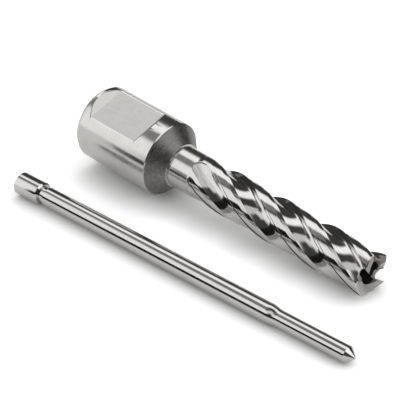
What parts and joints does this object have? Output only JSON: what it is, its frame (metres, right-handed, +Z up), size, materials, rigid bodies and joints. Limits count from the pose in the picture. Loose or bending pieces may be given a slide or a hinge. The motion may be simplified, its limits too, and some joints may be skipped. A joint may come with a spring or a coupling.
{
  "type": "annular cutter",
  "caption": "Hollow fluted hole cutter with a flatted shank and helical flutes, lying beside its loose centring pin.",
  "frame": {"origin": "on the surface that both pieces lie on, in the middle of the floor area that they cover", "axes": "+X from the cutter's shank towards its teeth, whose axis drops 3.9 degrees towards them; +Z up"},
  "size_m": [0.1034, 0.0372, 0.0205],
  "materials": {
    "cutter_steel": "bright ground, fine grinding marks along the flutes, matt turned cone",
    "pin_steel": "fine ground"
  },
  "bodies": {
    "root": {"cutter": "cutter_steel", "pilot_pin": "pin_steel"}
  },
  "joints": []
}
